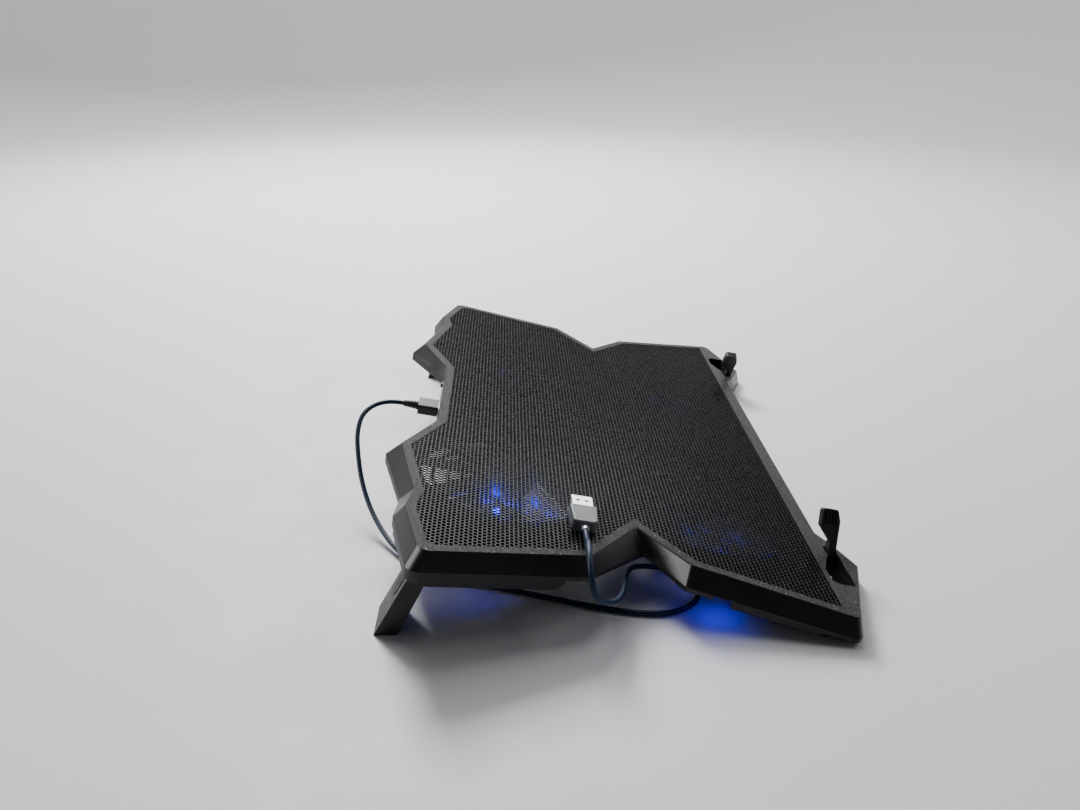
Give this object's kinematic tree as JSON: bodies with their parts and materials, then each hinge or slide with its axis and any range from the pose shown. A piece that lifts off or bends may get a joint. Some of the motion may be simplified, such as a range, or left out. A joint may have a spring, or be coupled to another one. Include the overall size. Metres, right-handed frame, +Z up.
{
  "type": "laptop cooling pad",
  "caption": "Tilted laptop cooling pad: faceted deck with perforated metal panel, four fans beneath, fold-out rear legs and front stoppers, rear USB hub and braided cable.",
  "frame": {"origin": "on the table, under the middle of the pad's box (the loose cable left out), with the legs open", "axes": "+X to the user's right, +Y to the back, +Z up"},
  "size_m": [0.412, 0.3044, 0.0619],
  "materials": {
    "deck_shell": "leather grain",
    "mesh": "satin black paint",
    "base_shell": "satin",
    "black_steel": "black oxide",
    "rubber": "matte",
    "bright_steel": "polished",
    "brass": "sintered",
    "circuit_board": "green solder mask",
    "iron": "stamped",
    "copper": "enamelled wire",
    "led": "clear blue",
    "black_plastic": "satin",
    "blue_plastic": "satin",
    "plug_black": "satin",
    "plug_grey": "frosted",
    "cable": "blue and black braid under a clear sheath",
    "fan_plastic": "smooth",
    "magnet": "plain",
    "lead": "smooth",
    "stopper_plastic": "satin"
  },
  "bodies": {
    "root": {"upper_shell": "deck_shell", "mesh_panel": "mesh", "lower_shell": "base_shell", "case_screws": "black_steel", "front_feet": "rubber", "recess_screws": "bright_steel", "fan_bearings": "brass", "motor_boards": "circuit_board", "stator_cores": "iron", "stator_coils": "copper", "fan_leds": "led", "hub_bezel": "black_plastic", "hub_board": "circuit_board", "usb_sockets": "bright_steel", "usb_tongues": "black_plastic", "switch_body": "bright_steel", "hub_plug_shell": "bright_steel", "hub_plug_insulator": "blue_plastic", "hub_plug_body": "plug_black", "hub_plug_relief": "plug_black", "far_plug_shell": "bright_steel", "far_plug_insulator": "blue_plastic", "far_plug_body": "plug_grey", "far_plug_ferrule": "bright_steel", "usb_cable": "cable", "leg_pin_left": "bright_steel", "leg_pin_right": "bright_steel", "stopper_pin_left": "bright_steel", "stopper_pin_right": "bright_steel", "lead_rear_left": "lead", "lead_rear_right": "lead", "lead_front_left": "lead", "lead_front_right": "lead"},
    "fan_rear_left": {"rotor_rear_left": "fan_plastic", "shaft_rear_left": "bright_steel", "magnet_rear_left": "magnet"},
    "fan_rear_right": {"rotor_rear_right": "fan_plastic", "shaft_rear_right": "bright_steel", "magnet_rear_right": "magnet"},
    "fan_front_left": {"rotor_front_left": "fan_plastic", "shaft_front_left": "bright_steel", "magnet_front_left": "magnet"},
    "fan_front_right": {"rotor_front_right": "fan_plastic", "shaft_front_right": "bright_steel", "magnet_front_right": "magnet"},
    "leg_left": {"leg_left": "base_shell", "leg_pad_left": "rubber"},
    "stopper_left": {"stopper_left": "stopper_plastic"},
    "leg_right": {"leg_right": "base_shell", "leg_pad_right": "rubber"},
    "stopper_right": {"stopper_right": "stopper_plastic"},
    "switch": {"switch_slider": "black_plastic"}
  },
  "joints": [
    {"name": "spin_rear_left", "type": "hinge", "parent": "root", "child": "fan_rear_left", "pos_m": [-0.093, 0.06337, 0.04247], "axis": [0, -0.1874, 0.9823], "continuous": true},
    {"name": "spin_rear_right", "type": "hinge", "parent": "root", "child": "fan_rear_right", "pos_m": [0.093, 0.06337, 0.04247], "axis": [0, -0.1874, 0.9823], "continuous": true},
    {"name": "spin_front_left", "type": "hinge", "parent": "root", "child": "fan_front_left", "pos_m": [-0.093, -0.05647, 0.01961], "axis": [0, -0.1874, 0.9823], "continuous": true},
    {"name": "spin_front_right", "type": "hinge", "parent": "root", "child": "fan_front_right", "pos_m": [0.093, -0.05647, 0.01961], "axis": [0, -0.1874, 0.9823], "continuous": true},
    {"name": "fold_leg_left", "type": "hinge", "parent": "root", "child": "leg_left", "pos_m": [-0.1775, 0.10681, 0.04261], "axis": [1, 0, 0], "range_deg": [-109, 0]},
    {"name": "fold_stopper_left", "type": "hinge", "parent": "root", "child": "stopper_left", "pos_m": [-0.1375, -0.12461, 0.01068], "axis": [0, 0.9823, 0.1874], "range_deg": [-115, 0]},
    {"name": "fold_leg_right", "type": "hinge", "parent": "root", "child": "leg_right", "pos_m": [0.1775, 0.10681, 0.04261], "axis": [1, 0, 0], "range_deg": [-109, 0]},
    {"name": "fold_stopper_right", "type": "hinge", "parent": "root", "child": "stopper_right", "pos_m": [0.1375, -0.12461, 0.01068], "axis": [0, 0.9823, 0.1874], "range_deg": [0, 115]},
    {"name": "slide_switch", "type": "slide", "parent": "root", "child": "switch", "axis": [1, 0, 0], "range_m": [0, 0.004]}
  ]
}
